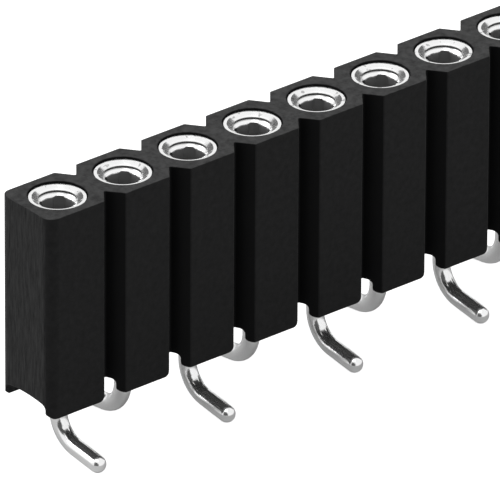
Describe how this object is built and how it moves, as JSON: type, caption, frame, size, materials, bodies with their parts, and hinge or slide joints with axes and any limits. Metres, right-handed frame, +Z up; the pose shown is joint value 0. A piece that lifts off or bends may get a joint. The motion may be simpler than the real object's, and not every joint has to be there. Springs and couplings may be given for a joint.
{
  "type": "female pin header strip",
  "caption": "Surface-mount socket strip: turned round contacts in a notched black insulator, with bent solder tails leaving to the front and to the back in turn.",
  "frame": {"origin": "centre of the footprint at the board, under the middle of the row", "axes": "+X along the row towards the last contact, +Y to the back, +Z up towards the mating face"},
  "size_m": [0.0204, 0.0044, 0.0087],
  "materials": {
    "insulator": "fine matte moulding",
    "sleeve": "bright tin plate",
    "clip": "bright plated spring sheet"
  },
  "bodies": {
    "root": {"insulator": "insulator", "contact_sleeve_1": "sleeve", "contact_sleeve_2": "sleeve", "contact_sleeve_3": "sleeve", "contact_sleeve_4": "sleeve", "contact_sleeve_5": "sleeve", "contact_sleeve_6": "sleeve", "contact_sleeve_7": "sleeve", "contact_sleeve_8": "sleeve", "contact_clip_1": "clip", "contact_clip_2": "clip", "contact_clip_3": "clip", "contact_clip_4": "clip", "contact_clip_5": "clip", "contact_clip_6": "clip", "contact_clip_7": "clip", "contact_clip_8": "clip"}
  },
  "joints": []
}
